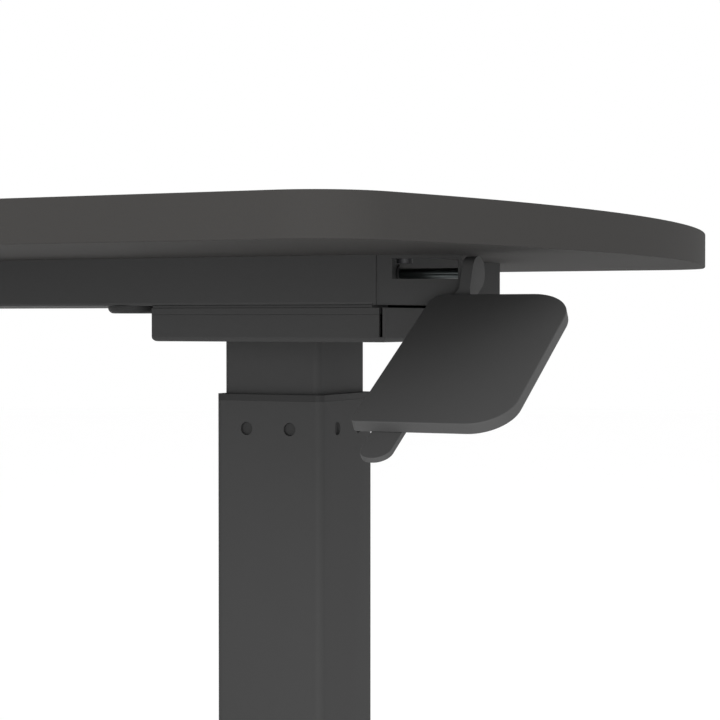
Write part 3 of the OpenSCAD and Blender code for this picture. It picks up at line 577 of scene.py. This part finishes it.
# %% Paddle
shaft_lo, shaft_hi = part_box("release_shaft")
shaft_middle = (shaft_lo + shaft_hi) / 2
SLOPE = math.radians(31.4)
PADDLE_START = 23.2 * MM
PADDLE_LENGTH = 126.4 * MM
PADDLE_THICK = 6.4 * MM
PADDLE_CORNERS = (9 * MM, 3 * MM, 22 * MM, 25 * MM)
lever_place = Matrix.Translation((0, shaft_middle.y, shaft_middle.z)) @ Matrix.Rotation(SLOPE, 4, "X")


def paddle_piece():
    lo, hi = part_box("paddle")
    near, far = -PADDLE_START, -PADDLE_START - PADDLE_LENGTH
    shape = bmesh.new()
    corners = [shape.verts.new((x, y, 0)) for x, y in ((lo.x, near), (lo.x, far), (hi.x, far), (hi.x, near))]
    bmesh.ops.contextual_create(shape, geom=corners)
    for corner, radius in zip(corners, PADDLE_CORNERS):
        bmesh.ops.bevel(shape, geom=[corner], offset=radius, offset_type="OFFSET", affect="VERTICES",
                        segments=16, profile=0.5, material=-1)
    lower = bmesh.ops.extrude_face_region(shape, geom=shape.faces[:])["geom"]
    lower = [v for v in lower if isinstance(v, bmesh.types.BMVert)]
    bmesh.ops.translate(shape, verts=lower, vec=(0, 0, -PADDLE_THICK))
    bmesh.ops.recalc_face_normals(shape, faces=shape.faces)
    bmesh.ops.transform(shape, matrix=lever_place, verts=shape.verts)
    return make_piece("paddle_plate", shape, "paddle", soften=0.6 * MM, segments=3)


paddle = paddle_piece()
print("paddle box", [round(v, 4) for v in paddle.bound_box[0]])

# %% [markdown]
# ## The release shaft
#
# The shaft is a ground rod with a chamfer at each end. It is a many-sided cylinder, laid along X, and
# smooth shading does the rest.

# %% Release shaft
shaft_radius = (shaft_hi.z - shaft_lo.z) / 2
shaft_shape = bmesh.new()
bmesh.ops.create_cone(shaft_shape, cap_ends=True, segments=48, radius1=shaft_radius, radius2=shaft_radius,
                      depth=shaft_hi.x - shaft_lo.x)
lay_down = Matrix.Translation(shaft_middle) @ Matrix.Rotation(math.pi / 2, 4, "Y")
bmesh.ops.transform(shaft_shape, matrix=lay_down, verts=shaft_shape.verts)
make_piece("ground_shaft", shaft_shape, "release_shaft", soften=0.5 * MM)
print("shaft from", round(shaft_lo.x, 4), "to", round(shaft_hi.x, 4))

# %% [markdown]
# ## The return spring
#
# The plain solid is a stack of rings, because a ring is simple to hold in the model. The real spring is one
# wire: a small circle spun round the shaft while it moves along it, which is what a screw is.

# %% Return spring
WIRE_RADIUS = 0.6 * MM
COILS = 5
STEPS_PER_COIL = 32


def spring_piece():
    lo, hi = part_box("return_spring")
    coil_radius = (hi.z - lo.z) / 2 - WIRE_RADIUS
    steps = STEPS_PER_COIL * COILS
    pitch = (hi.x - lo.x - 2 * WIRE_RADIUS) / steps
    shape = bmesh.new()
    ring = bmesh.ops.create_circle(shape, cap_ends=False, segments=10, radius=WIRE_RADIUS)["verts"]
    place = Matrix.Translation((lo.x + WIRE_RADIUS, shaft_middle.y, shaft_middle.z + coil_radius))
    bmesh.ops.transform(shape, matrix=place @ Matrix.Rotation(math.pi / 2, 4, "X"), verts=ring)
    bmesh.ops.spin(shape, geom=shape.verts[:] + shape.edges[:], cent=shaft_middle, axis=(1, 0, 0),
                   dvec=(pitch, 0, 0), angle=2 * math.pi * COILS, steps=steps)
    bmesh.ops.remove_doubles(shape, verts=shape.verts, dist=WELD)
    bmesh.ops.holes_fill(shape, edges=shape.edges, sides=12)
    bmesh.ops.recalc_face_normals(shape, faces=shape.faces)
    return make_piece("coil_spring", shape, "return_spring")


spring = spring_piece()
print("spring faces", len(spring.data.polygons))

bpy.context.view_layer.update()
